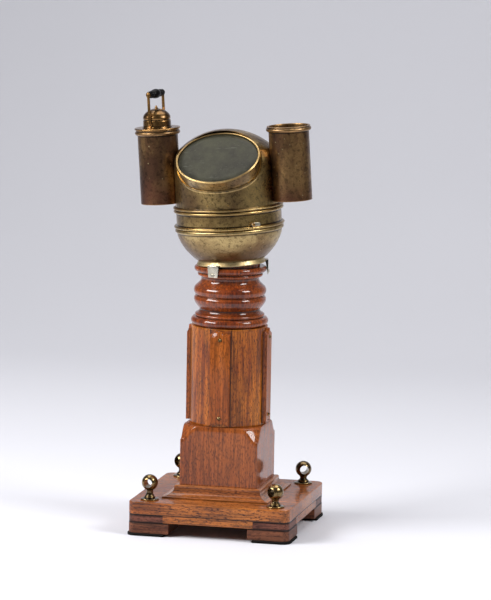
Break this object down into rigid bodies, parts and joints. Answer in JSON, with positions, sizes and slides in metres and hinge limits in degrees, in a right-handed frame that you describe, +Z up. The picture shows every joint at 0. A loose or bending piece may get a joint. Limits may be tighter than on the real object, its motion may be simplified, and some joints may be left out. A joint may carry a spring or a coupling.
{
  "type": "binnacle compass",
  "caption": "Wooden pedestal binnacle with a brass lift-off hood, sloping oval window, side lamp housings, oil lamp and gimballed card compass.",
  "frame": {"origin": "on the floor, under the middle of the whole outline; the pedestal axis stands at x = +0.016 m", "axes": "+Z up, -Y towards the helmsman in front of the window, +X to starboard"},
  "size_m": [0.4159, 0.381, 1.0024],
  "materials": {
    "varnished_mahogany": "varnish over red-brown mahogany, worn to a soft gloss",
    "dark_mahogany": "darker end-grain mahogany, thin varnish",
    "black_rubber": "matt black rubber sheet",
    "bright_brass": "handled brass, bright on the edges",
    "aged_brass": "olive-brown patina over spun brass",
    "worn_brass": "thin patina worn to pale brass",
    "browned_brass": "dark bronze patina with copper-coloured patches",
    "nickel_silver": "pale nickel-silver strip, satin",
    "black_ebonite": "polished black hard rubber",
    "window_glass": "old plate glass, dusty",
    "compass_card": "off-white compass card with dark marks"
  },
  "bodies": {
    "stand": {"base_board": "varnished_mahogany", "foot_block_front_left": "varnished_mahogany", "foot_block_front_right": "varnished_mahogany", "foot_block_rear_left": "varnished_mahogany", "foot_block_rear_right": "varnished_mahogany", "foot_pad_front_left": "black_rubber", "foot_pad_front_right": "black_rubber", "foot_pad_rear_left": "black_rubber", "foot_pad_rear_right": "black_rubber", "corner_strip_front_left": "dark_mahogany", "corner_strip_front_right": "dark_mahogany", "corner_strip_rear_left": "dark_mahogany", "corner_strip_rear_right": "dark_mahogany", "ball_eye_front_left": "aged_brass", "ball_eye_front_right": "aged_brass", "ball_eye_rear_left": "aged_brass", "ball_eye_rear_right": "aged_brass", "plinth_moulding_front": "varnished_mahogany", "plinth_moulding_right": "varnished_mahogany", "plinth_moulding_rear": "varnished_mahogany", "plinth_moulding_left": "varnished_mahogany", "batten_front": "varnished_mahogany", "batten_right": "varnished_mahogany", "batten_rear": "varnished_mahogany", "batten_left": "varnished_mahogany", "batten_screw_front_low": "bright_brass", "batten_screw_front_high": "bright_brass", "batten_screw_right_low": "bright_brass", "batten_screw_right_high": "bright_brass", "batten_screw_rear_low": "bright_brass", "batten_screw_rear_high": "bright_brass", "batten_screw_left_low": "bright_brass", "batten_screw_left_high": "bright_brass", "pedestal_block": "varnished_mahogany", "column_shaft": "varnished_mahogany", "neck_turning": "varnished_mahogany", "neck_clip_1": "nickel_silver", "neck_clip_2": "nickel_silver", "neck_clip_3": "nickel_silver", "bowl_shell": "worn_brass"},
    "hood": {"hood_band": "aged_brass", "catch_stud": "bright_brass", "hood_shell": "aged_brass", "window_collar": "aged_brass", "window_bezel": "bright_brass", "window_glass": "window_glass", "lamp_housing_port": "browned_brass", "lamp_housing_starboard": "browned_brass"},
    "catch": {"hood_catch": "nickel_silver"},
    "lamp": {"lamp_body": "browned_brass", "lamp_burner": "bright_brass", "lamp_cap": "bright_brass"},
    "bail": {"lamp_bail": "bright_brass"},
    "grip": {"bail_grip": "black_ebonite"},
    "ring": {"gimbal_ring": "bright_brass"},
    "compass": {"compass_bowl": "aged_brass", "compass_glass": "window_glass", "compass_pivot": "bright_brass"},
    "card": {"compass_card": "compass_card"}
  },
  "joints": [
    {"name": "hood_lift", "type": "slide", "parent": "stand", "child": "hood", "axis": [-0.0692, 0, 0.9976], "range_m": [0, 0.15]},
    {"name": "catch_turn", "type": "hinge", "parent": "hood", "child": "catch", "pos_m": [0.09106, -0.10072, 0.71309], "axis": [0.621, -0.7826, 0.0431], "range_deg": [-90, 0]},
    {"name": "lamp_lift", "type": "slide", "parent": "hood", "child": "lamp", "axis": [-0.0692, 0, 0.9976], "range_m": [0, 0.21]},
    {"name": "bail_swing", "type": "hinge", "parent": "lamp", "child": "bail", "pos_m": [-0.15743, -0.0164, 0.92359], "axis": [-0.2498, -0.9681, -0.0173], "range_deg": [-85, 85]},
    {"name": "grip_spin", "type": "hinge", "parent": "bail", "child": "grip", "pos_m": [-0.16213, -0.0164, 0.99143], "axis": [-0.2498, -0.9681, -0.0173], "continuous": true},
    {"name": "gimbal_roll", "type": "hinge", "parent": "stand", "child": "ring", "pos_m": [0.01265, 0, 0.68579], "axis": [0, 1, 0], "range_deg": [-22, 22]},
    {"name": "compass_pitch", "type": "hinge", "parent": "ring", "child": "compass", "pos_m": [0.01265, 0, 0.68579], "axis": [1, 0, 0], "range_deg": [-22, 22]},
    {"name": "card_turn", "type": "hinge", "parent": "compass", "child": "card", "pos_m": [0.01265, 0, 0.68579], "axis": [0, 0, 1], "continuous": true}
  ]
}
